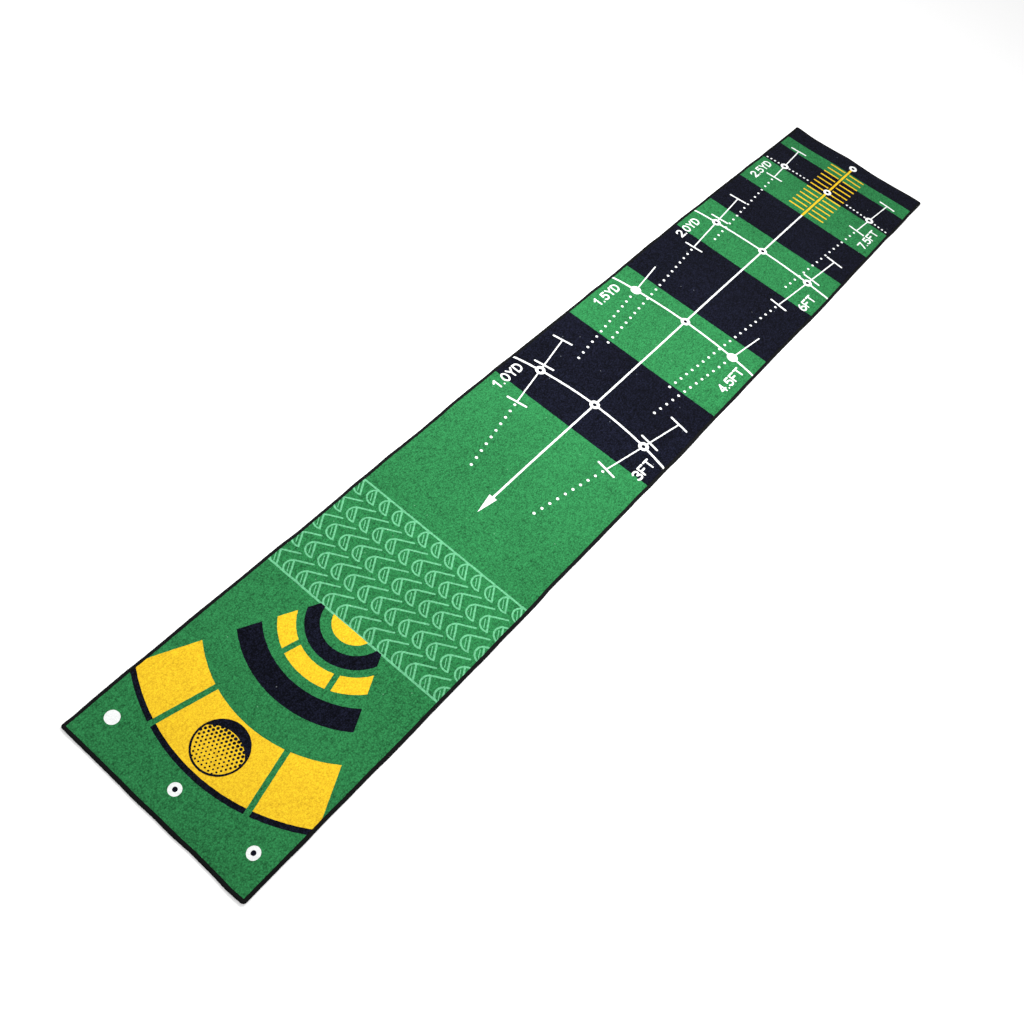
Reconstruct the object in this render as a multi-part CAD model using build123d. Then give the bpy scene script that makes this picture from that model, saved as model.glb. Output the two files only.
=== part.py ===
from build123d import *

import math
import os

# A practice putting mat that lies flat. X runs across it, Y from its near end, where the target
# is printed, to its far end, and Z up. The origin is the middle of its underside. All sizes in mm.

# Driving dimensions
WIDTH = 500.0
LENGTH = 3000.0
RUBBER = 2.2  # thickness of the rubber backing
PRECOAT = 0.3  # thickness of the latex film that locks the tufts and glues the rubber on
CLOTH = 0.6  # thickness of the cloth that the tufts stand in
PILE = 2.9  # height of the cut pile
DYED_TIPS = 0.9  # how deep the print's dyes reach down the tufts
SQUEEZED_PILE = 1.1  # height of the pile under the overlocked edge
YARN = 0.8  # thickness of the overlock yarn over and under the edge
WRAP = 1.0  # thickness of the overlock yarn round the outside of the edge
BITE = 8.0  # width of the overlocked border
THREAD = 0.7  # width of the needle thread along the inner side of the border
CORNER_R = 8.0  # radius of the mat's corners

# Heights of the layers
Z_PRECOAT = RUBBER
Z_CLOTH = Z_PRECOAT + PRECOAT
Z_PILE = Z_CLOTH + CLOTH
Z_TIPS = Z_PILE + PILE - DYED_TIPS
Z_BORDER = Z_PILE + SQUEEZED_PILE
Z_SPLIT = Z_CLOTH  # the upper and lower looper yarns meet at this height on the edge

# Print, by distance from the near edge
BLACK_BANDS = ((1333, 1657), (1942, 2214), (2412, 2594), (2748, 2865), (2924, LENGTH))
TARGET_Y = 549.0  # centre of the target's rings and of the distance arcs
LINE, ARC_LINE, RAY_LINE, BAR_LINE = 5.2, 6.2, 3.7, 5.8  # putting line, arcs, side rays, cross bars
PUTTING_LINE = (1022.0, 2592.0)
ARROW_TIP, ARROW_WIDTH = 962.0, 22.0
YELLOW_LINE_END, YELLOW_LINE = 2950.0, 7.2
RUNG_FIRST, RUNG_PITCH, RUNG_COUNT, RUNG_LENGTH, RUNG = 2621.0, 24.5, 13, 130.0, 5.8
RUNG_GAP = 5.0  # between the yellow line and the rungs either side of it
RING_R, RING_HOLE_R, DISC_R = 13.8, 5.4, 15.5
SIDE_RING_X = 166.0
GATE_BAR = 53.0
DOT_R, DOT_PITCH = 3.8, 25.5
ARC_DOT_R, ARC_DOT_PITCH = 3.5, 14.0

# Each distance: radius of its arc, its two labels and where they start, and along its side
# rays, from the ring: bars, ends of the solid line, first dot and number of dots.
DISTANCES = (
    {"r": 893, "yards": ("1.0YD", 1290), "feet": ("3FT", 1328), "bars": (134, 22, -134),
     "line": (134, -134), "dots": (-146, 10), "ring": True, "dotted": False},
    {"r": 1340, "yards": ("1.5YD", 1740), "feet": ("4.5FT", 1748), "bars": (),
     "line": (126, 0), "dots": (-35, 13), "ring": False, "dotted": False},
    {"r": 1787, "yards": ("2.0YD", 2178), "feet": ("6FT", 2212), "bars": (155, 23, -157),
     "line": (155, -157), "dots": (-173, 21), "ring": True, "dotted": False},
    {"r": 2221, "yards": ("2.5YD", 2626), "feet": ("7.5FT", 2620), "bars": (116, -82),
     "line": (116, -82), "dots": (-99, 17), "ring": True, "dotted": True},
)
FAR_RING_Y = 2958.0
NEAR_RINGS = ((0, 62), (194, 76))
NEAR_DISC = (-193, 78)

# Lettering of the distances: letters stand with their tops towards -X and read towards the far end
YARDS_X, FEET_X = -197.0, 221.0  # foot of the letters
LETTER_H, LETTER_W, LETTER_GAP, POINT_W, STROKE = 29.0, 18.0, 7.5, 2.0, 5.0

# Target: the wedge that bounds it, its gaps, and its rings as (colour, centre, inner r, outer r)
WEDGE_APEX, WEDGE_HALF_ANGLE = 722.0, 25.0
GAP_APEX, GAP_ANGLE, GAP_WIDTH = 655.0, 13.8, 12.5
SUN_CENTRE, SUN_R = 551.0, 51.0
INNER_RING = (551.0, 75.0, 107.5)
SMALL_BLOCKS = (551.0, 124.0, 162.5)
DARK_ARC = (580.0, 214.0, 266.0)
LARGE_BLOCKS = (558.0, 318.0, 451.0)
OUTLINE = 12.0  # black outline outside the large blocks
BALL_Y, BALL_R, BALL_RIM = 174.0, 59.0, 4.6
BALL_SHADE_R, BALL_SHADE_DROP = 70.5, 33.5  # the shade is outside a circle of this radius, this far below
DIMPLE_PITCH = 9.0

# Patterned panel beyond the target: rows of plain golf clubs in outline
PANEL = (536.0, 839.0)
PANEL_LINE = 5.0
CLUB_PITCH_X, CLUB_PITCH_Y, CLUB_ROW_Y, CLUB_SHIFT_X = 39.25, 66.0, 555.0, 8.0
CLUB_STROKE, CLUB_HEAD_R, CLUB_FACE_STEP, CLUB_SHAFT, CLUB_LEAN = 4.2, 22.5, 8.0, 44.0, 30.0


def upright(shape, z_low, height):
    """A solid that stands on z_low over a flat region of the mat."""
    return Pos(0, 0, z_low) * extrude(shape, amount=height)


def along(y):
    """Row Y of a distance from the near edge."""
    return y - LENGTH / 2


def box_region(x_low, x_high, y_low, y_high):
    """A rectangle between two X, and two distances from the near edge."""
    middle = Pos((x_low + x_high) / 2, along((y_low + y_high) / 2))
    return middle * Rectangle(x_high - x_low, y_high - y_low)


def disc(x, y, r):
    return Pos(x, along(y)) * Circle(r)


def stroke(start, end, width):
    """A straight round-ended stroke between two points of the plan."""
    (x0, y0), (x1, y1) = start, end
    length = math.hypot(x1 - x0, y1 - y0)
    turn = math.degrees(math.atan2(y1 - y0, x1 - x0))
    return Pos((x0 + x1) / 2, along((y0 + y1) / 2)) * Rot(0, 0, turn) * SlotCenterToCenter(length, width)


def mat_outline(inset):
    """The mat's outline, with its corners rounded, moved inwards by inset."""
    return RectangleRounded(WIDTH - 2 * inset, LENGTH - 2 * inset, max(CORNER_R - inset, 0.5))


OUTSIDE = mat_outline(0)
LAYERS = mat_outline(WRAP)
UNDER_YARN = mat_outline(BITE)
FIELD = mat_outline(BITE + THREAD)


def half_ring(centre, r_inner, r_outer):
    """The part of a ring round a point on the mat's middle line that faces the near end."""
    ring = disc(0, centre, r_outer) - disc(0, centre, r_inner)
    return ring & box_region(-WIDTH, WIDTH, centre - 2 * r_outer, PANEL[0])


def wedge(apex, half_angle, reach):
    """A triangle that opens from apex towards the near end."""
    half = reach * math.tan(math.radians(half_angle))
    corners = ((0, along(apex)), (-half, along(apex - reach)), (half, along(apex - reach)))
    return make_face(Polyline(*corners, close=True).edges())


def gap_strips():
    """Two straight strips that split the target's blocks in three."""
    lean, reach = math.radians(GAP_ANGLE), GAP_APEX
    dx, end_y = reach * math.sin(lean), GAP_APEX - reach * math.cos(lean)
    return [stroke((0, GAP_APEX), (side * dx, end_y), GAP_WIDTH) for side in (-1, 1)]


def ray_point(distance, side, offset):
    """A point on a distance's side ray, offset mm beyond its ring as seen from the target."""
    lean = math.asin(SIDE_RING_X / distance["r"])
    r = distance["r"] + offset
    return side * r * math.sin(lean), TARGET_Y + r * math.cos(lean)


def gate(distance, side):
    """What lies on one side ray: its line, its cross bars, its ring or disc, and its dots."""
    lean = -side * math.asin(SIDE_RING_X / distance["r"])
    first, count = distance["dots"]
    ends = [ray_point(distance, side, offset) for offset in distance["line"]]
    shapes = [stroke(*ends, RAY_LINE)]
    for offset in distance["bars"]:
        x, y = ray_point(distance, side, offset)
        dx, dy = GATE_BAR / 2 * math.cos(lean), GATE_BAR / 2 * math.sin(lean)
        shapes.append(stroke((x - dx, y - dy), (x + dx, y + dy), BAR_LINE))
    for i in range(count):
        shapes.append(disc(*ray_point(distance, side, first - i * DOT_PITCH), DOT_R))
    shapes.append(disc(*ray_point(distance, side, 0), RING_R if distance["ring"] else DISC_R))
    return shapes


def cross_arc(distance):
    """The arc across the mat at one distance: a line, or a row of dots that skips the ladder."""
    r = distance["r"]
    if not distance["dotted"]:
        ring = disc(0, TARGET_Y, r + ARC_LINE / 2) - disc(0, TARGET_Y, r - ARC_LINE / 2)
        return [ring & box_region(-WIDTH, WIDTH, TARGET_Y, LENGTH)]
    count = int(WIDTH / 2 / ARC_DOT_PITCH)
    places = [(i + 0.5) * ARC_DOT_PITCH for i in range(-count, count)]
    return [disc(x, TARGET_Y + math.sqrt(r * r - x * x), ARC_DOT_R)
            for x in places if abs(x) > RUNG_LENGTH / 2 + ARC_DOT_R]


def bowl(cx, cy, rx, ry, start, stop, steps=8):
    """Points on part of an ellipse, by angles in degrees."""
    angles = [math.radians(start + (stop - start) * i / steps) for i in range(steps + 1)]
    return [(cx + rx * math.cos(a), cy + ry * math.sin(a)) for a in angles]


# Letters as strokes in a box 1 wide and 1 high, from the left foot
LETTERS = {
    "0": [bowl(0.5, 0.5, 0.5, 0.5, 0, 360, 16)],
    "1": [[(0.15, 0.75), (0.6, 1), (0.6, 0)]],
    "2": [bowl(0.5, 0.7, 0.5, 0.3, 165, -30) + [(0, 0), (1, 0)]],
    "3": [bowl(0.45, 0.75, 0.5, 0.25, 150, -90) + bowl(0.45, 0.25, 0.55, 0.25, 90, -150)],
    "4": [[(0.72, 0), (0.72, 1), (0, 0.3), (1, 0.3)]],
    "5": [[(0.9, 1), (0.15, 1), (0.08, 0.56)] + bowl(0.45, 0.33, 0.55, 0.33, 120, -145)],
    "6": [bowl(0.5, 0.31, 0.5, 0.31, 0, 360, 16), bowl(0.75, 0.35, 0.75, 0.65, 180, 105, 6)],
    "7": [[(0, 1), (1, 1), (0.35, 0)]],
    ".": [[(0, 0), (0.01, 0)]],
    "D": [[(0, 0), (0, 1), (0.4, 1)] + bowl(0.4, 0.5, 0.6, 0.5, 90, -90, 10) + [(0, 0)]],
    "F": [[(0, 0), (0, 1), (1, 1)], [(0, 0.52), (0.8, 0.52)]],
    "T": [[(0, 1), (1, 1)], [(0.5, 1), (0.5, 0)]],
    "Y": [[(0, 1), (0.5, 0.5), (1, 1)], [(0.5, 0.5), (0.5, 0)]],
}


def lettering(text, foot_x, start_y):
    """A line of letters that reads towards the far end, as strokes."""
    shapes, y = [], start_y + STROKE / 2
    for letter in text:
        width = POINT_W if letter == "." else LETTER_W
        for line in LETTERS[letter]:
            places = [(foot_x - STROKE / 2 - v * (LETTER_H - STROKE), y + u * width) for u, v in line]
            shapes += [stroke(a, b, STROKE) for a, b in zip(places, places[1:])]
        y += width + LETTER_GAP
    return shapes


def white_marks():
    shapes = [box_region(-LINE / 2, LINE / 2, *PUTTING_LINE), disc(0, FAR_RING_Y, RING_R)]
    arrow = Polyline((0, along(ARROW_TIP)), (ARROW_WIDTH / 2, along(PUTTING_LINE[0])),
                     (-ARROW_WIDTH / 2, along(PUTTING_LINE[0])), close=True)
    shapes.append(make_face(arrow.edges()))
    shapes += [disc(x, y, RING_R) for x, y in NEAR_RINGS] + [disc(*NEAR_DISC, DISC_R)]
    for distance in DISTANCES:
        shapes += cross_arc(distance)
        shapes.append(disc(0, TARGET_Y + distance["r"], RING_R))
        for side in (-1, 1):
            shapes += gate(distance, side)
        shapes += lettering(distance["yards"][0], YARDS_X, distance["yards"][1])
        shapes += lettering(distance["feet"][0], FEET_X, distance["feet"][1])
    return shapes


def ring_holes():
    """The dark middles of the rings."""
    places = [(0, FAR_RING_Y), *NEAR_RINGS]
    for distance in DISTANCES:
        places.append((0, TARGET_Y + distance["r"]))
        if distance["ring"]:
            places += [ray_point(distance, side, 0) for side in (-1, 1)]
    return [disc(x, y, RING_HOLE_R) for x, y in places]


def yellow_marks():
    shapes = [box_region(-YELLOW_LINE / 2, YELLOW_LINE / 2, PUTTING_LINE[1], YELLOW_LINE_END)]
    inner, outer = YELLOW_LINE / 2 + RUNG_GAP, RUNG_LENGTH / 2
    for i in range(RUNG_COUNT):
        y = RUNG_FIRST + i * RUNG_PITCH
        shapes += [box_region(low, low + outer - inner, y - RUNG / 2, y + RUNG / 2) for low in (-outer, inner)]
    bounds = wedge(WEDGE_APEX, WEDGE_HALF_ANGLE, LENGTH)
    shapes.append(disc(0, SUN_CENTRE, SUN_R) & box_region(-SUN_R, SUN_R, 0, PANEL[0]))
    for ring in (SMALL_BLOCKS, LARGE_BLOCKS):
        shapes.append((half_ring(*ring) & bounds) - gap_strips())
    return shapes


def dimples():
    """The ball's dimples as dots in rows, large in the shade at its top and small below."""
    shapes = []
    rows = int(BALL_R / DIMPLE_PITCH) + 1
    for row in range(-rows, rows + 1):
        y = row * DIMPLE_PITCH * 0.87
        for column in range(-rows, rows + 1):
            x = (column + 0.5 * (row % 2)) * DIMPLE_PITCH
            spread = math.hypot(x, y) / BALL_R
            if spread < 0.92 and math.hypot(x, y + BALL_SHADE_DROP) < BALL_SHADE_R:
                height = 0.5 + 0.5 * y / BALL_R
                r = DIMPLE_PITCH * (0.18 + 0.36 * height ** 2 + 0.1 * spread ** 3)
                shapes.append(disc(x, BALL_Y + y, r))
    return shapes


def black_marks():
    """The target's dark shapes and the ball."""
    bounds = wedge(WEDGE_APEX, WEDGE_HALF_ANGLE, LENGTH)
    centre, _, r_outer = LARGE_BLOCKS
    outline = half_ring(centre, r_outer, r_outer + OUTLINE) - gap_strips()
    lit = disc(0, BALL_Y, BALL_R - BALL_RIM) & disc(0, BALL_Y - BALL_SHADE_DROP, BALL_SHADE_R)
    ball = disc(0, BALL_Y, BALL_R) - lit
    shapes = [half_ring(*INNER_RING) & bounds, half_ring(*DARK_ARC) & bounds, outline, ball]
    return shapes + dimples()


def club(x, y):
    """A golf club in outline: a half-round head, a line behind its flat face, and a shaft off its top."""
    r, line = CLUB_HEAD_R, CLUB_STROKE
    half = Pos(-r / 2, 0) * Rectangle(r, 2 * r)
    head = (Circle(r) - Circle(r - line)) & half
    face = Pos(-line / 2, 0) * Rectangle(line, 2 * r - line)
    chord = math.sqrt((r - 2 * line) ** 2 - CLUB_FACE_STEP ** 2)
    face_line = Pos(-CLUB_FACE_STEP - line / 2, 0) * Rectangle(line / 2, 2 * chord)
    shaft = Pos(CLUB_SHAFT / 2 - line, r - line / 2) * SlotCenterToCenter(CLUB_SHAFT, line)
    place = Pos(x, along(y)) * Rot(0, 0, CLUB_LEAN)
    return [place * shape for shape in (head, face, face_line, shaft)]


def light_green_marks():
    """The panel's two end lines, and rows of clubs cut off at the panel's sides."""
    low, high = PANEL
    columns = int(WIDTH / 2 / CLUB_PITCH_X) + 1
    shapes = []
    for row in range(int((high - low) / CLUB_PITCH_Y) + 1):
        for column in range(-columns, columns + 1):
            shapes += club(column * CLUB_PITCH_X + CLUB_SHIFT_X, CLUB_ROW_Y + row * CLUB_PITCH_Y)
    clubs = (Sketch() + shapes) & box_region(-WIDTH / 2, WIDTH / 2, low, high)
    lines = [box_region(-WIDTH / 2, WIDTH / 2, y - PANEL_LINE / 2, y + PANEL_LINE / 2) for y in PANEL]
    return clubs + lines


def print_regions():
    """The plan of each dye colour over the field, each clear of the others."""
    bands = [box_region(-WIDTH / 2, WIDTH / 2, low, high) for low, high in BLACK_BANDS]
    holes = Sketch() + ring_holes()
    dark = Sketch() + black_marks()
    white = ((Sketch() + white_marks()) & FIELD) - holes
    yellow = ((Sketch() + yellow_marks()) & FIELD) - dark - white - holes
    light_green = (light_green_marks() & FIELD) - yellow - dark
    black = ((Sketch() + bands + [dark, holes]) & FIELD) - white - yellow - light_green
    return {
        "pile_green": FIELD - black - white - yellow - light_green,
        "pile_black": black,
        "pile_yellow": yellow,
        "pile_white": white,
        "pile_light_green": light_green,
    }


def side_wedges():
    """The mitred share of the border that belongs to each side of the mat."""
    x, y, reach = WIDTH / 2, LENGTH / 2, WIDTH / 2
    corners = {
        "left": ((-x, -y), (-x, y), (-x + reach, y - reach), (-x + reach, -y + reach)),
        "right": ((x, y), (x, -y), (x - reach, -y + reach), (x - reach, y - reach)),
        "near": ((x, -y), (-x, -y), (0, -y + reach)),
        "far": ((-x, y), (x, y), (0, y - reach)),
    }
    return {name: make_face(Polyline(*points, close=True).edges()) for name, points in corners.items()}


def layers():
    """The layers under the print. The rubber and the pile are squeezed thinner in the border."""
    rubber = upright(FIELD, 0, RUBBER) + upright(LAYERS, YARN, RUBBER - YARN)
    roots = upright(FIELD, Z_PILE, PILE - DYED_TIPS) + upright(LAYERS, Z_PILE, SQUEEZED_PILE)
    return {
        "rubber_backing": rubber,
        "latex_precoat": upright(LAYERS, Z_PRECOAT, PRECOAT),
        "base_cloth": upright(LAYERS, Z_CLOTH, CLOTH),
        "pile_roots": roots,
    }


def dyed_pile():
    """The dyed tips of the tufts, by dye colour."""
    return {name: upright(region, Z_TIPS, DYED_TIPS) for name, region in print_regions().items()}


def edge_yarns():
    """The overlock stitch of each side: upper and lower looper yarns and the needle thread."""
    nodes = {}
    top, edge, thread = OUTSIDE - UNDER_YARN, OUTSIDE - LAYERS, UNDER_YARN - FIELD
    for side, share in side_wedges().items():
        nodes[f"upper_looper_yarn_{side}"] = (
            upright(top & share, Z_BORDER, YARN) + upright(edge & share, Z_SPLIT, Z_BORDER - Z_SPLIT))
        nodes[f"lower_looper_yarn_{side}"] = (
            upright((OUTSIDE - FIELD) & share, 0, YARN) + upright(edge & share, YARN, Z_SPLIT - YARN))
        nodes[f"needle_thread_{side}"] = upright(thread & share, Z_BORDER, YARN)
    return nodes


os.makedirs("parts", exist_ok=True)
for node, solid in {**layers(), **dyed_pile(), **edge_yarns()}.items():
    export_step(solid, f"parts/{node}.step")
    print(f"{node}: {len(solid.solids())} solids, {solid.volume / 1000:.1f} cm3")
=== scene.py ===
import math

import bpy
import numpy as np
from mathutils import Matrix, Vector, kdtree
from mathutils.bvhtree import BVHTree
from mathutils.geometry import delaunay_2d_cdt


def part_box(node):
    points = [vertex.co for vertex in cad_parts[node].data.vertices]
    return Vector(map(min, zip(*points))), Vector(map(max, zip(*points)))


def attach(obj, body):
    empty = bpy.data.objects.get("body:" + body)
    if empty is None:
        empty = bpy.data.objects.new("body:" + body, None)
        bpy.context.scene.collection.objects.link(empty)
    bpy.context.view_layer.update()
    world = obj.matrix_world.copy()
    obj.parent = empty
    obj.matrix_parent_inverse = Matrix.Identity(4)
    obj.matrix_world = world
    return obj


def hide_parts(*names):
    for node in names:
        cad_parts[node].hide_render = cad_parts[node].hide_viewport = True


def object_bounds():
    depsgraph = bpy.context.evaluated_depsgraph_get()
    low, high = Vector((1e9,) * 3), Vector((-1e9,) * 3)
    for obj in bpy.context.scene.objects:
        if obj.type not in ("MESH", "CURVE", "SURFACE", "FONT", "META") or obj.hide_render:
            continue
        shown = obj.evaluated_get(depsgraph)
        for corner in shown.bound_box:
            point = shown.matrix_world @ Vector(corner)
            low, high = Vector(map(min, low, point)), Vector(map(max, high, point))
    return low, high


# A practice putting mat. All lengths are in metres, in the frame of the CAD model: X across the
# mat, Y from its near end to its far end, Z up, and the origin in the middle of its underside.

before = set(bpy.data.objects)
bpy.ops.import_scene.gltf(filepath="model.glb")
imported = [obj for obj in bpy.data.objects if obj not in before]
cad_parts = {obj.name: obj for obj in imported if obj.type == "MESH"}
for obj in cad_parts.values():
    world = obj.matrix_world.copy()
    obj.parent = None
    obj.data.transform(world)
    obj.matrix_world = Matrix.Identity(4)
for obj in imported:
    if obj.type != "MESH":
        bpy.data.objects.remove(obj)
cad_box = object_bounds()

# ---------------------------------------------------------------- sizes, from the CAD model

HALF_X, HALF_Y = cad_box[1].x, cad_box[1].y
PILE_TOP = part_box("pile_green")[1].z
TIPS_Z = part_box("pile_green")[0].z
FIELD_X, FIELD_Y = -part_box("pile_green")[0].xy
ROOTS_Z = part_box("pile_roots")[0].z
BORDER_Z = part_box("needle_thread_left")[0].z
BORDER_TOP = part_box("needle_thread_left")[1].z
YARN_THICKNESS = BORDER_TOP - BORDER_Z
RUBBER_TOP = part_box("rubber_backing")[1].z
LAYER_X, LAYER_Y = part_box("base_cloth")[1].xy
CORNER_R = 0.008

SHARP_ANGLE = math.radians(55)  # edges that turn by more than this are drawn sharp

COLOURS = ("pile_white", "pile_yellow", "pile_light_green", "pile_black", "pile_green")
SIDES = ("left", "right", "near", "far")

rng = np.random.default_rng(7)
LATTICE = rng.random((256, 256))


def noise(x, y, cell, layer=0):
    """Smooth value noise from -1 to 1 over the mat's plan, with lattice cells of this size."""
    u, v = x / cell + 17.3 * layer, y / cell + 41.9 * layer
    i, j = np.floor(u).astype(int), np.floor(v).astype(int)
    a, b = u - i, v - j
    a, b = a * a * (3 - 2 * a), b * b * (3 - 2 * b)
    corner = [[LATTICE[(i + m) % 256, (j + n) % 256] for n in (0, 1)] for m in (0, 1)]
    low = corner[0][0] * (1 - b) + corner[0][1] * b
    high = corner[1][0] * (1 - b) + corner[1][1] * b
    return 2 * (low * (1 - a) + high * a) - 1


def ramp(value, low, high):
    """A smooth step from 0 at low to 1 at high."""
    t = np.clip((value - low) / (high - low), 0, 1)
    return t * t * (3 - 2 * t)


def lay(points):
    """Lays flat points on the floor as the real mat lies: slightly bowed sides, a wavy far edge, and
    long low waves that are left from being rolled up. Nothing goes below the floor."""
    points = np.asarray(points, float)
    x, y, z = points.T
    u, v = x / HALF_X, y / HALF_Y
    left = -0.0045 + 0.0085 * v ** 2 + 0.0012 * np.sin(9 * v) - 0.0015 * v
    right = 0.0022 - 0.0045 * v ** 2 - 0.001 * v + 0.0009 * np.sin(11 * v + 2)
    x_new = x + left * (1 - u) / 2 + right * (1 + u) / 2
    far = ramp(v, 0.86, 1.0)
    near = ramp(-v, 0.9, 1.0)
    y_new = y + far * (0.0055 * u + 0.0026 * np.sin(2 * math.pi * x / 0.24 + 2.6)) - near * 0.0015 * u
    ruffle = np.maximum(ramp(np.abs(u), 0.86, 1.0), ramp(np.abs(v), 0.98, 1.0))
    ragged, rippled = 0.0003, 0.0014
    x_new = x_new + ragged * noise(x, y, 0.0046, 1) + rippled * ruffle * noise(x, y, 0.06, 5)
    y_new = y_new + ragged * noise(x, y, 0.0046, 2) + rippled * ruffle * noise(x, y, 0.05, 6)
    roll = 0.0007 * (1 + np.sin(2 * math.pi * y / 0.47 + 1.4 * u + 0.8 * np.sin(3 * v)))
    corner = 0.0016 * ramp(np.abs(v), 0.975, 1.0) * ramp(np.abs(u), 0.7, 1.0)
    return np.stack([x_new, y_new, z + roll + corner], axis=1)


# ---------------------------------------------------------------- mesh helpers

def add_piece(name, points, faces, material, node, slot):
    """One piece of the mat that stands for one CAD node, laid on the floor."""
    mesh = bpy.data.meshes.new(name)
    mesh.from_pydata(lay(points).tolist(), [], faces)
    mesh.validate()
    mesh.shade_smooth()
    mesh.set_sharp_from_angle(angle=SHARP_ANGLE)
    mesh.materials.append(material)
    piece = bpy.data.objects.new(name, mesh)
    bpy.context.scene.collection.objects.link(piece)
    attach(piece, "root")
    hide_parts(node)
    return piece


def grid_slab(xs, ys, top_z, bottom_z):
    """Points and faces of a closed slab on a grid, whose heights top_z and bottom_z give."""
    nx, ny = len(xs), len(ys)
    gx, gy = (g.ravel() for g in np.meshgrid(xs, ys, indexing="ij"))
    gx, gy = round_corners(gx, gy, xs[-1], ys[-1])
    top = np.stack([gx, gy, top_z(gx, gy)], axis=1)
    bottom = np.stack([gx, gy, bottom_z(gx, gy)], axis=1)
    count = nx * ny
    faces = []
    for i in range(nx - 1):
        for j in range(ny - 1):
            a, b, c, d = i * ny + j, (i + 1) * ny + j, (i + 1) * ny + j + 1, i * ny + j + 1
            faces += [(a, b, c, d), (count + d, count + c, count + b, count + a)]
    rim = [i * ny for i in range(nx)] + [(nx - 1) * ny + j for j in range(1, ny)]
    rim += [i * ny + ny - 1 for i in range(nx - 2, -1, -1)] + [j for j in range(ny - 2, 0, -1)]
    faces += [(a, count + a, count + b, b) for a, b in zip(rim, rim[1:] + rim[:1])]
    return np.concatenate([top, bottom]), faces


def slab(name, top_z, bottom_z, material, node, slot):
    """One layer of the mat as a piece of its own."""
    return add_piece(name, *grid_slab(LAYER_XS, LAYER_YS, top_z, bottom_z), material, node, slot)


def round_corners(x, y, half_x, half_y):
    """Pulls the points at a rectangle's corners in to the mat's corner radius."""
    cx, cy = half_x - CORNER_R, half_y - CORNER_R
    dx, dy = np.maximum(np.abs(x) - cx, 0), np.maximum(np.abs(y) - cy, 0)
    reach = np.hypot(dx, dy)
    scale = np.where(reach > CORNER_R, CORNER_R / np.maximum(reach, 1e-9), 1)
    inside = (dx > 0) & (dy > 0)
    x = np.where(inside, np.sign(x) * (cx + dx * scale), x)
    y = np.where(inside, np.sign(y) * (cy + dy * scale), y)
    return x, y


def grid_lines(half, margin_lines, step):
    """Grid lines that are symmetrical about 0, with extra ones near the edge."""
    inner = half - max(margin_lines) - 0.001
    middle = np.linspace(-inner, inner, int(2 * inner / step) + 1)
    edge = np.array(sorted(half - m for m in margin_lines))
    return np.concatenate([-edge[::-1], middle, edge])


# ---------------------------------------------------------------- materials

def shader(name, roughness=0.9, specular=0.15, sheen=0.0, sheen_roughness=0.5, sheen_tint=(1, 1, 1)):
    """A new material: itself, its node tree, its shader and the coordinates its textures use."""
    material = bpy.data.materials.new(name)
    material.use_nodes = True
    tree = material.node_tree
    bsdf = tree.nodes["Principled BSDF"]
    bsdf.inputs["Roughness"].default_value = roughness
    bsdf.inputs["Specular IOR Level"].default_value = specular
    bsdf.inputs["Sheen Weight"].default_value = sheen
    bsdf.inputs["Sheen Roughness"].default_value = sheen_roughness
    bsdf.inputs["Sheen Tint"].default_value = (*sheen_tint, 1)
    coords = tree.nodes.new("ShaderNodeTexCoord").outputs["Object"]
    return material, tree, bsdf, coords


def texture(tree, coords, scale, detail=2.0, roughness=0.5, stretch=None):
    """Noise with features about 1 / scale metres across."""
    if stretch:
        mapping = tree.nodes.new("ShaderNodeMapping")
        mapping.inputs["Scale"].default_value = stretch
        tree.links.new(coords, mapping.inputs["Vector"])
        coords = mapping.outputs["Vector"]
    node = tree.nodes.new("ShaderNodeTexNoise")
    node.inputs["Scale"].default_value = scale
    node.inputs["Detail"].default_value = detail
    node.inputs["Roughness"].default_value = roughness
    tree.links.new(coords, node.inputs["Vector"])
    return node.outputs["Fac"]


def cells(tree, coords, scale, output="Distance", flat=False):
    """Irregular cells about 1 / scale metres across."""
    node = tree.nodes.new("ShaderNodeTexVoronoi")
    node.voronoi_dimensions = "2D" if flat else "3D"
    node.inputs["Scale"].default_value = scale
    tree.links.new(coords, node.inputs["Vector"])
    return node.outputs[output]


def math_node(tree, operation, a, b):
    """Arithmetic on two values, each a number or another node's output."""
    node = tree.nodes.new("ShaderNodeMath")
    node.operation = operation
    for socket, value in zip(node.inputs, (a, b)):
        if isinstance(value, (int, float)):
            socket.default_value = value
        else:
            tree.links.new(value, socket)
    return node.outputs["Value"]


def weighted(tree, parts, centre=0.5):
    """centre plus each (texture, weight), with the texture's middle taken as 0.5."""
    total = centre
    for value, weight in parts:
        swing = math_node(tree, "MULTIPLY", math_node(tree, "SUBTRACT", value, 0.5), weight)
        total = math_node(tree, "ADD", swing, total)
    return total


def colour_ramp(tree, factor, stops):
    """The colour at this factor, between (position, colour) stops."""
    node = tree.nodes.new("ShaderNodeValToRGB")
    elements = node.color_ramp.elements
    while len(elements) < len(stops):
        elements.new(0.5)
    for element, (position, colour) in zip(elements, stops):
        element.position = position
        element.color = (*colour, 1)
    tree.links.new(factor, node.inputs["Fac"])
    return node.outputs["Color"]


def mix_colour(tree, factor, a, b):
    """Colour a, or b where factor is 1."""
    node = tree.nodes.new("ShaderNodeMix")
    node.data_type = "RGBA"
    for socket, value in ((node.inputs[0], factor), (node.inputs[6], a), (node.inputs[7], b)):
        if isinstance(value, tuple):
            socket.default_value = (*value, 1)
        else:
            tree.links.new(value, socket)
    return node.outputs[2]


def bump(tree, bsdf, height, strength, distance):
    """Fine relief that is too small to model."""
    node = tree.nodes.new("ShaderNodeBump")
    node.inputs["Strength"].default_value = strength
    node.inputs["Distance"].default_value = distance
    tree.links.new(height, node.inputs["Height"])
    tree.links.new(node.outputs["Normal"], bsdf.inputs["Normal"])


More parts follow.
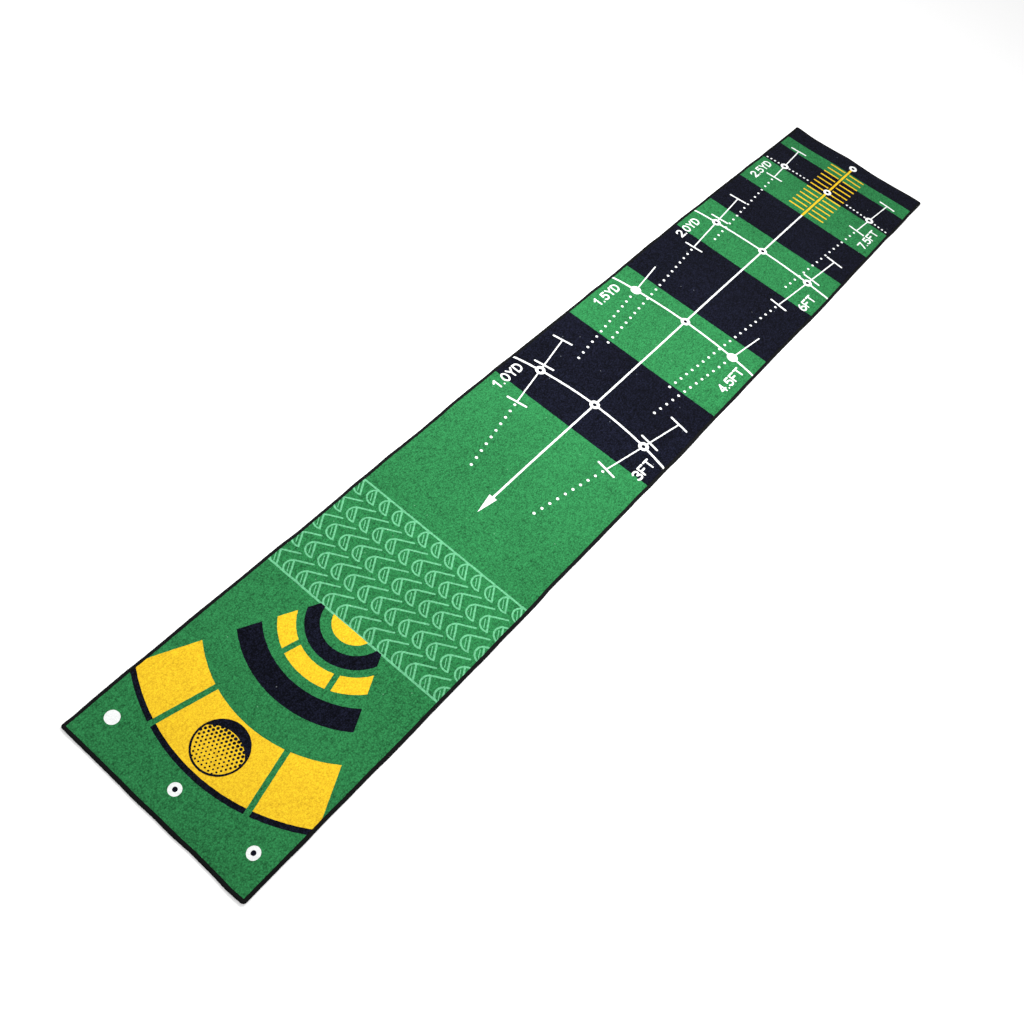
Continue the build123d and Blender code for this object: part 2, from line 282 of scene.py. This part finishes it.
def shade(colour, factor):
    """The colour made darker or lighter by this factor."""
    return tuple(min(c * factor, 1) for c in colour)


def pile_material(name, colour, contrast, specks, sheen, warm=(1.0, 1.0, 1.0)):
    """Dyed cut pile: tufts of uneven brightness, painted shade in the gaps between them, cloudy dye, the
    odd fleck of lint, and a soft sheen.
    """
    material, tree, bsdf, coords = shader(name, 0.95, 0.06, sheen, 0.45, warm)
    clouds = texture(tree, coords, 3.2, 3)
    patches = texture(tree, coords, 38, 4, 0.6)
    rows = texture(tree, coords, 300, 1, 0.5, (1.0, 0.22, 1.0))
    tufts = cells(tree, coords, 330, "Color")
    tuft = tree.nodes.new("ShaderNodeSeparateColor")
    tree.links.new(tufts, tuft.inputs["Color"])
    fibres = texture(tree, coords, 1500, 2, 0.7)
    gaps = cells(tree, coords, 330)
    # the colour is darker in the gaps between the tufts: painted shade
    level = weighted(tree, [(clouds, 0.3), (patches, 0.2), (rows, 0.5), (tuft.outputs[0], 0.34),
                            (gaps, -0.6), (fibres, 0.8)], 0.53)
    dark, light = shade(colour, max(1 - contrast, 0.1)), shade(colour, 1 + contrast)
    stops = [(0.1, dark), (0.5, colour), (0.9, light)]
    dyed = colour_ramp(tree, level, stops)
    lint = cells(tree, coords, 10, flat=True)
    fleck = math_node(tree, "LESS_THAN", lint, 0.014)
    fleck = math_node(tree, "MULTIPLY", fleck, math_node(tree, "GREATER_THAN", patches, 0.5))
    dyed = mix_colour(tree, fleck, dyed, specks)
    tree.links.new(dyed, bsdf.inputs["Base Color"])
    relief = weighted(tree, [(gaps, -0.9), (fibres, 0.5)])
    bump(tree, bsdf, relief, 0.5, 0.0009)
    return material


def yarn_material(name, colour, light):
    """Textured filament yarn: fine twisted fibres with a slight shine."""
    material, tree, bsdf, coords = shader(name, 0.75, 0.1, 0.01, 0.4)
    twist = texture(tree, coords, 1700, 2, 0.6, (1.0, 1.0, 0.4))
    patches = texture(tree, coords, 90, 3)
    level = weighted(tree, [(twist, 0.8), (patches, 0.6)])
    tree.links.new(colour_ramp(tree, level, [(0.25, colour), (0.8, light)]), bsdf.inputs["Base Color"])
    bump(tree, bsdf, twist, 0.45, 0.0004)
    return material


def rubber_material():
    """Matt black rubber, scuffed and finely grained."""
    material, tree, bsdf, coords = shader("backing_rubber", 0.78, 0.3)
    scuffs = texture(tree, coords, 14, 5, 0.65)
    grain = texture(tree, coords, 900, 2, 0.6)
    level = weighted(tree, [(scuffs, 0.9), (grain, 0.3)])
    stops = [(0.2, (0.012, 0.012, 0.013)), (0.6, (0.022, 0.022, 0.024)), (0.95, (0.05, 0.05, 0.052))]
    tree.links.new(colour_ramp(tree, level, stops), bsdf.inputs["Base Color"])
    rough = math_node(tree, "ADD", math_node(tree, "MULTIPLY", scuffs, 0.3), 0.62)
    tree.links.new(rough, bsdf.inputs["Roughness"])
    bump(tree, bsdf, grain, 0.35, 0.0003)
    return material


def woven_material(name, warp, weft, scale=420):
    """Plain weave, for the cloth the tufts stand in."""
    material, tree, bsdf, coords = shader(name, 0.92, 0.12, 0.1)
    over = texture(tree, coords, scale, 0, 0.5, (1.0, 0.15, 1.0))
    under = texture(tree, coords, scale, 0, 0.5, (0.15, 1.0, 1.0))
    patches = texture(tree, coords, 20, 3)
    level = weighted(tree, [(over, 0.7), (under, -0.7), (patches, 0.4)])
    tree.links.new(colour_ramp(tree, level, [(0.3, warp), (0.7, weft)]), bsdf.inputs["Base Color"])
    bump(tree, bsdf, level, 0.4, 0.0003)
    return material


DYES = {
    "pile_green": ((0.0235, 0.182, 0.057), 0.6, (0.12, 0.32, 0.17)),
    "pile_black": ((0.0031, 0.0036, 0.0084), 2.6, (0.12, 0.13, 0.15)),
    "pile_yellow": ((0.88, 0.54, 0.021), 0.3, (0.95, 0.72, 0.2)),
    "pile_white": ((0.93, 0.95, 0.94), 0.12, (0.95, 0.96, 0.95)),
    "pile_light_green": ((0.14, 0.47, 0.24), 0.3, (0.35, 0.65, 0.42)),
}
materials = {name: pile_material(name, colour, contrast, specks, 0.03)
             for name, (colour, contrast, specks) in DYES.items()}
yarn = yarn_material("overlock_yarn", (0.0015, 0.0015, 0.0018), (0.007, 0.007, 0.008))
thread = yarn_material("needle_thread", (0.0018, 0.0018, 0.002), (0.008, 0.008, 0.009))
rubber = rubber_material()
latex = woven_material("precoat_latex", (0.012, 0.012, 0.011), (0.024, 0.024, 0.022), 160)
cloth = woven_material("cloth_green", (0.004, 0.014, 0.007), (0.009, 0.028, 0.014))
# the roots' near-black green is painted shade, for the pile deep down between the tufts
roots_painted_shade = pile_material("pile_roots", (0.004, 0.009, 0.006), 0.4, (0.02, 0.03, 0.02), 0.03)

# ---------------------------------------------------------------- the dyed pile

EDGE_STEP = 0.003  # longest piece of an outline
TUFT_PITCH = 0.0038
CLEAR = 0.0017  # tufts stay this far from the outlines' own points
PRESSED_REACH = 0.0045  # how far in from the border the pile is pressed down
PLAN_STEPS = 1e5  # points of the plan are matched in steps of this many to the metre
SAME_LEVEL = 5  # steps within which a point counts as on the top face


def triangle_edges(triangles):
    """The three edges of every triangle, each in the triangle's direction."""
    return np.concatenate([triangles[:, [0, 1]], triangles[:, [1, 2]], triangles[:, [2, 0]]])


def top_face(node):
    """The plan of a node's top face: points, triangles, and the edges that only one triangle has."""
    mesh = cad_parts[node].data
    points = np.empty(len(mesh.vertices) * 3)
    mesh.vertices.foreach_get("co", points)
    steps = np.round(points.reshape(-1, 3) * PLAN_STEPS).astype(int)
    keys, back = np.unique(steps, axis=0, return_inverse=True)
    mesh.calc_loop_triangles()
    triangles = np.empty(len(mesh.loop_triangles) * 3, np.int32)
    mesh.loop_triangles.foreach_get("vertices", triangles)
    triangles = back.ravel()[triangles].reshape(-1, 3)
    height = keys[:, 2]
    triangles = triangles[(height[triangles] > height.max() - SAME_LEVEL).all(axis=1)]
    edges = np.sort(triangle_edges(triangles), axis=1)
    edges, uses = np.unique(edges, axis=0, return_counts=True)
    return keys[:, :2] / PLAN_STEPS, triangles, edges[uses == 1]


def triangulate(points, edges):
    """Triangles between points, with edges kept.

    Gives the points, the split edges, the triangles, and the edges that each split edge comes from."""
    found = delaunay_2d_cdt([Vector(p) for p in points], edges, [], 0, 1e-5)
    return np.array([tuple(p) for p in found[0]]), found[1], np.array(found[2]), found[4]


def print_outlines(faces):
    """The outlines of all colours as one clean set of short edges: points and edges."""
    index, edges = {}, set()
    for points, _, outline in faces.values():
        for a, b in outline:
            a, b = tuple(points[a]), tuple(points[b])
            edges.add(tuple(sorted(index.setdefault(p, len(index)) for p in (a, b))))
    points, split, _, sources = triangulate(list(index), sorted(edges))
    points, edges = [tuple(p) for p in points], []
    for (a, b), source in zip(split, sources):
        if not source:
            continue
        start, end = np.array(points[a]), np.array(points[b])
        pieces = max(1, math.ceil(np.linalg.norm(end - start) / EDGE_STEP))
        chain = [a]
        for k in range(1, pieces):
            chain.append(len(points))
            points.append(tuple(start + (end - start) * k / pieces))
        chain.append(b)
        edges += list(zip(chain, chain[1:]))
    return points, edges


def tuft_places(points):
    """Uneven rows of tufts over the field, clear of the outlines."""
    tree = kdtree.KDTree(len(points))
    for i, (x, y) in enumerate(points):
        tree.insert((x, y, 0), i)
    tree.balance()
    xs = np.arange(-FIELD_X + TUFT_PITCH / 2, FIELD_X, TUFT_PITCH)
    ys = np.arange(-FIELD_Y + TUFT_PITCH / 2, FIELD_Y, TUFT_PITCH)
    places = np.stack(np.meshgrid(xs, ys, indexing="ij"), axis=-1).reshape(-1, 2)
    places += rng.uniform(-0.3, 0.3, places.shape) * TUFT_PITCH
    return [(x, y) for x, y in places.tolist() if tree.find((x, y, 0))[2] > CLEAR]


def colour_of(centres, faces):
    """Which colour each point of the plan has."""
    trees = {}
    for node in COLOURS[:-1]:
        points, triangles, _ = faces[node]
        trees[node] = BVHTree.FromPolygons([(x, y, 0) for x, y in points], triangles.tolist())
    down, found = Vector((0, 0, -1)), []
    for x, y in centres.tolist():
        start = Vector((x, y, 1))
        hit = (i for i, node in enumerate(COLOURS[:-1])
               if trees[node].ray_cast(start, down)[0] is not None)
        found.append(next(hit, len(COLOURS) - 1))
    return np.array(found)


def pressed(x, y):
    """How far the pile is pressed down near the overlocked border."""
    inset = np.minimum(FIELD_X - np.abs(x), FIELD_Y - np.abs(y))
    return (PILE_TOP - BORDER_TOP) * (1 - ramp(inset, 0.0, PRESSED_REACH))


def tuft_height(x, y):
    """The uneven top of the cut pile."""
    tufts = 0.0003 * noise(x, y, 0.0034, 3) + 0.00018 * noise(x, y, 0.021, 4)
    return PILE_TOP - 0.0002 + tufts - pressed(x, y)


def facing_up(plan, triangles):
    """The triangles, turned so that they all face up."""
    a, b, c = (plan[triangles[:, k]] for k in range(3))
    turn = (b - a)[:, 0] * (c - a)[:, 1] - (b - a)[:, 1] * (c - a)[:, 0]
    return np.where((turn < 0)[:, None], triangles[:, ::-1], triangles)


def rim_edges(triangles, count):
    """The edges that only one triangle has, in its direction. count is the number of points."""
    directed = triangle_edges(triangles)
    code = directed.min(axis=1) * count + directed.max(axis=1)
    _, first, uses = np.unique(code, return_index=True, return_counts=True)
    return directed[first[uses == 1]]


def plan_key(corner):
    """A point of the plan in whole micrometres, to find it again."""
    return tuple(np.round(corner * 1e6).astype(int))


def tip_slabs(plan, triangles, flat_plan, flat_triangles):
    """Points and faces of one colour's closed slabs, with a fine top and a coarse underside."""
    used, upper = np.unique(triangles, return_inverse=True)
    upper = upper.reshape(-1, 3)
    xy = plan[used]
    rim = rim_edges(upper, len(used))
    low = {}
    for a in rim.ravel().tolist():
        low.setdefault(a, len(used) + len(low))
    base = [xy[a] for a in low]
    faces = upper.tolist()
    faces += [(a, low[a], low[b], b) for a, b in rim.tolist()]
    index = {plan_key(xy[a]): low[a] for a in low}
    for triangle in flat_triangles:
        corners = []
        for corner in flat_plan[triangle]:
            key = plan_key(corner)
            if key not in index:
                index[key] = len(used) + len(base)
                base.append(corner)
            corners.append(index[key])
        faces.append(corners[::-1])
    base = np.array(base)
    top = np.column_stack([xy, tuft_height(*xy.T)])
    underside = np.column_stack([base, TIPS_Z - pressed(*base.T)])
    return np.concatenate([top, underside]), faces


def dyed_pieces():
    """The dyed tips of the tufts, one piece for each colour."""
    faces = {node: top_face(node) for node in COLOURS}
    points, edges = print_outlines(faces)
    bottom, _, bottom_faces, _ = triangulate(points, edges)
    top, _, top_faces, _ = triangulate(points + tuft_places(points), edges)
    layers = []
    for plan, triangles in ((top, top_faces), (bottom, bottom_faces)):
        colours = colour_of(plan[triangles].mean(axis=1), faces)
        layers.append((plan, facing_up(plan, triangles), colours))
    made = {}
    for number, node in enumerate(COLOURS):
        parts = []
        for plan, triangles, colours in layers:
            parts += [plan, triangles[colours == number]]
        name = node.replace("pile_", "tufts_")
        made[node] = add_piece(name, *tip_slabs(*parts), materials[node], node, node)
    return made


dyed = dyed_pieces()

# ---------------------------------------------------------------- the layers under the pile

EDGE_LINES = (0.0, 0.0035, 0.0069, 0.0078, 0.012)  # grid lines at these distances in from the edge
GRID_STEP = 0.012
ROOTS_GAP = 0.0001  # the roots end this far under the dyed tips


def level(z):
    """The same height all over."""
    return lambda x, y: np.full(len(x), z)


def step_at_field(inside, border):
    """A height inside the field and another in the overlocked border."""
    def height(x, y):
        in_field = (np.abs(x) < FIELD_X + 1e-4) & (np.abs(y) < FIELD_Y + 1e-4)
        return np.where(in_field, inside, border)
    return height


def under_tips(x, y):
    """The top of the roots: just under the dyed tips, and at the underside of the border's yarns."""
    under = TIPS_Z - pressed(x, y) - ROOTS_GAP
    return np.where(step_at_field(True, False)(x, y), under, BORDER_Z)


LAYER_XS = grid_lines(LAYER_X, EDGE_LINES, GRID_STEP)
LAYER_YS = grid_lines(LAYER_Y, EDGE_LINES, GRID_STEP)
CLOTH_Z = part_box("base_cloth")[0].z
roots = slab("tuft_roots", under_tips, level(ROOTS_Z), roots_painted_shade, "pile_roots", "pile_roots")
sheet = slab("tufting_cloth", level(ROOTS_Z), level(CLOTH_Z), cloth, "base_cloth", "cloth_green")
film = slab("latex_film", level(CLOTH_Z), level(RUBBER_TOP), latex, "latex_precoat", "precoat_latex")

# ---------------------------------------------------------------- the rubber and its non-slip studs

STUD_PITCH = 0.0135
STUD_TOP_R, STUD_BASE_R = 0.0014, 0.0022
STUD_HEIGHT, STUD_ROOT = 0.0006, 0.0002  # how far a stud stands out of the sheet, and reaches into it
STUD_SIDES = 6
STUD_MARGIN = 0.012  # the studs stop short of the border by half of this on each side


def rubber_sheet():
    """The rubber sheet with rows of studs under it, which the mat stands on."""
    sheet_points, faces = grid_slab(LAYER_XS, LAYER_YS, level(RUBBER_TOP),
                                    step_at_field(STUD_HEIGHT, YARN_THICKNESS))
    points, start = [sheet_points], len(sheet_points)
    angles = np.arange(STUD_SIDES) * 2 * math.pi / STUD_SIDES
    ring = np.stack([np.cos(angles), np.sin(angles)], axis=1)
    row_pitch = STUD_PITCH * math.sqrt(3) / 2
    rows = int((2 * FIELD_Y - STUD_MARGIN) / row_pitch)
    for row in range(rows + 1):
        y = (row - rows / 2) * row_pitch
        columns = int((2 * FIELD_X - STUD_MARGIN) / STUD_PITCH) - row % 2
        x = (np.arange(columns + 1) - columns / 2) * STUD_PITCH
        for cx in x:
            root_z = np.full(STUD_SIDES, STUD_HEIGHT + STUD_ROOT)
            base = np.column_stack([ring * STUD_BASE_R + (cx, y), root_z])
            tip = np.column_stack([ring * STUD_TOP_R + (cx, y), np.zeros(STUD_SIDES)])
            points += [base, tip]
            for k in range(STUD_SIDES):
                n = (k + 1) % STUD_SIDES
                faces.append((start + n, start + k, start + STUD_SIDES + k, start + STUD_SIDES + n))
            faces.append(tuple(start + STUD_SIDES + k for k in range(STUD_SIDES))[::-1])
            start += 2 * STUD_SIDES
    return add_piece("rubber_sheet", np.concatenate(points), faces, rubber,
                     "rubber_backing", "backing_rubber")


rubber_sheet()

# ---------------------------------------------------------------- the overlock stitch

STITCH = 0.0042  # length of one stitch along the edge
STRAND_SIDES = 6
# One stitch of a looper yarn: how far along, how far in from the edge, height, and how much it faces out
TOP_LOOP = (
    (0.00, 0.0080, 0.00460, 0.0), (0.12, 0.0064, 0.00460, 0.0), (0.25, 0.0040, 0.00455, 0.1),
    (0.36, 0.0018, 0.00420, 0.5), (0.44, 0.0008, 0.00350, 0.9), (0.50, 0.0006, 0.00270, 1.0),
    (0.56, 0.0008, 0.00350, 0.9), (0.64, 0.0018, 0.00420, 0.5), (0.75, 0.0040, 0.00455, 0.1),
    (0.88, 0.0064, 0.00460, 0.0),
)
LOW_LOOP = (
    (0.00, 0.0082, 0.00042, 0.0), (0.12, 0.0064, 0.00042, 0.0), (0.25, 0.0040, 0.00043, -0.1),
    (0.36, 0.0018, 0.00060, -0.5), (0.44, 0.0008, 0.00110, -0.9), (0.50, 0.0006, 0.00190, -1.0),
    (0.56, 0.0008, 0.00110, -0.9), (0.64, 0.0018, 0.00060, -0.5), (0.75, 0.0040, 0.00043, -0.1),
    (0.88, 0.0064, 0.00042, 0.0),
)
NEEDLE_LOOP = (
    (0.00, 0.00835, 0.00428, 0.0), (0.2, 0.00835, 0.00458, 0.0), (0.5, 0.00835, 0.00466, 0.0),
    (0.8, 0.00835, 0.00458, 0.0),
)
# Where each side starts, which way it runs, and which way it faces
EDGES = {
    "left": ((-HALF_X, -HALF_Y), (0, 1), (-1, 0), 2 * HALF_Y),
    "right": ((HALF_X, HALF_Y), (0, -1), (1, 0), 2 * HALF_Y),
    "near": ((HALF_X, -HALF_Y), (-1, 0), (0, -1), 2 * HALF_X),
    "far": ((-HALF_X, HALF_Y), (1, 0), (0, 1), 2 * HALF_X),
}


def along_edge(side, s):
    """Points on the mat's outline and the direction each faces. s runs from corner to corner."""
    start, run, out, length = (np.array(v, float) for v in EDGES[side])
    straight = length - 2 * CORNER_R
    turn = (np.minimum(s, 0) + np.maximum(s - straight, 0)) / CORNER_R
    facing = out * np.cos(turn)[:, None] + run * np.sin(turn)[:, None]
    centre = start + (run - out) * CORNER_R + run * np.clip(s, 0, straight)[:, None]
    return centre + facing * CORNER_R, facing


def strand(side, loop, width, thickness, phase, looseness):
    """One yarn sewn along one side: points and faces of a flattened tube."""
    length = EDGES[side][3] - 2 * CORNER_R
    half_corner = CORNER_R * math.pi / 4
    count = round((length + 2 * half_corner) / STITCH)
    pitch = (length + 2 * half_corner) / count
    loop = np.array(loop)
    stitch = np.repeat(np.arange(count), len(loop))
    part = np.tile(np.arange(len(loop)), count)
    wander = rng.normal(0, looseness, (count, 2))
    s = -half_corner + (stitch + loop[part, 0] + phase) * pitch + wander[stitch, 0]
    inset = np.maximum(loop[part, 1] + wander[stitch, 1] * loop[part, 1] / 0.008, 0.0005)
    s = np.clip(s, -half_corner, length + half_corner)
    place, facing = along_edge(side, s)
    path = np.column_stack([place - facing * inset[:, None], loop[part, 2]])
    outward = loop[part, 3]
    up = np.column_stack([facing * np.abs(outward)[:, None], 1 - np.abs(outward)])
    if loop[0, 2] < 0.001:
        up[:, 2] *= -1
    up /= np.linalg.norm(up, axis=1)[:, None]
    tangent = np.gradient(path, axis=0)
    tangent /= np.maximum(np.linalg.norm(tangent, axis=1)[:, None], 1e-9)
    across = np.cross(tangent, up)
    across /= np.maximum(np.linalg.norm(across, axis=1)[:, None], 1e-9)
    up = np.cross(across, tangent)
    points = []
    angles = np.arange(STRAND_SIDES) * 2 * math.pi / STRAND_SIDES
    for angle in angles:
        sideways, upwards = width / 2 * math.cos(angle), thickness / 2 * math.sin(angle)
        points.append(path + across * sideways + up * upwards)
    points = np.stack(points, axis=1).reshape(-1, 3)
    n = len(path)
    base = np.arange(n - 1)[:, None] * STRAND_SIDES
    k = np.arange(STRAND_SIDES)[None, :]
    nxt = (k + 1) % STRAND_SIDES
    quads = np.stack([base + k, base + nxt, base + STRAND_SIDES + nxt, base + STRAND_SIDES + k], axis=-1)
    faces = quads.reshape(-1, 4).tolist()
    faces.append(tuple(range(STRAND_SIDES))[::-1])
    faces.append(tuple(range((n - 1) * STRAND_SIDES, n * STRAND_SIDES)))
    return points, faces


# Each yarn: its loop, its width and thickness, its phase in stitches, its material and its slot
YARNS = {
    "upper_looper_yarn": (TOP_LOOP, 0.003, 0.0008, 0.0, yarn, "overlock_yarn"),
    "lower_looper_yarn": (LOW_LOOP, 0.003, 0.0008, 0.5, yarn, "overlock_yarn"),
    "needle_thread": (NEEDLE_LOOP, 0.0007, 0.00065, 0.0, thread, "needle_thread"),
}
LOOSENESS = 0.00018  # spread of the stitches about their even places
LOWEST_YARN = 0.00002  # yarn stays this far above the floor

for side in SIDES:
    for kind, (loop, width, thickness, phase, look, slot) in YARNS.items():
        points, faces = strand(side, loop, width, thickness, phase, LOOSENESS)
        points[:, 2] = np.maximum(points[:, 2], LOWEST_YARN)
        add_piece(f"stitches_{kind}_{side}", points, faces, look, f"{kind}_{side}", slot)

# ---------------------------------------------------------------- camera, floor and light

FLOOR_HALF, FLOOR_Z = 14.0, -0.0002
FLOOR_CORNERS = [(x * FLOOR_HALF, y * FLOOR_HALF, FLOOR_Z)
                 for x, y in ((-1, -1), (1, -1), (1, 1), (-1, 1))]
floor_mesh = bpy.data.meshes.new("floor")
floor_mesh.from_pydata(FLOOR_CORNERS, [], [(0, 1, 2, 3)])
floor = bpy.data.objects.new("floor", floor_mesh)
bpy.context.scene.collection.objects.link(floor)
floor_look, _, floor_bsdf, _ = shader("pale_floor", 0.9, 0.1)
floor_bsdf.inputs["Base Color"].default_value = (0.93, 0.93, 0.93, 1)
floor_bsdf.inputs["Emission Color"].default_value = (1, 1, 1, 1)
floor_bsdf.inputs["Emission Strength"].default_value = 0.35
floor_mesh.materials.append(floor_look)

CAMERA_PLACE = Vector((0.6187, -1.8513, 2.0334))
CAMERA_AIM = Vector((0.0549, -0.4739, 0.0))
CAMERA_ROLL = math.radians(19.89)
CAMERA_LENS, CAMERA_SENSOR = 37.72, 36.0  # millimetres
camera_data = bpy.data.cameras.new("camera")
camera_data.lens = CAMERA_LENS
camera_data.sensor_width = CAMERA_SENSOR
camera = bpy.data.objects.new("camera", camera_data)
bpy.context.scene.collection.objects.link(camera)
look = (CAMERA_AIM - CAMERA_PLACE).to_track_quat("-Z", "Y").to_matrix().to_4x4()
camera.matrix_world = Matrix.Translation(CAMERA_PLACE) @ look @ Matrix.Rotation(CAMERA_ROLL, 4, "Z")
bpy.context.scene.camera = camera


def area_light(name, place, aim, size, power):
    """A white softbox at this place, turned towards aim."""
    data = bpy.data.lights.new(name, "AREA")
    data.shape = "RECTANGLE"
    data.size, data.size_y = size
    data.energy = power
    light = bpy.data.objects.new(name, data)
    bpy.context.scene.collection.objects.link(light)
    direction = Vector(aim) - Vector(place)
    turn = direction.to_track_quat("-Z", "Y").to_matrix().to_4x4()
    light.matrix_world = Matrix.Translation(place) @ turn


area_light("softbox_over", (0.1, 0.12, 1.6), (0.0, 0.1, 0.0), (1.3, 1.3), 38)
area_light("softbox_side", (-2.4, 0.1, 1.7), (0.0, 0.0, 0.0), (1.3, 1.3), 24)

world = bpy.data.worlds.new("studio")
world.use_nodes = True
world.node_tree.nodes["Background"].inputs["Color"].default_value = (1, 1, 1, 1)
world.node_tree.nodes["Background"].inputs["Strength"].default_value = 0.52
bpy.context.scene.world = world
bpy.context.scene.view_settings.view_transform = "Standard"
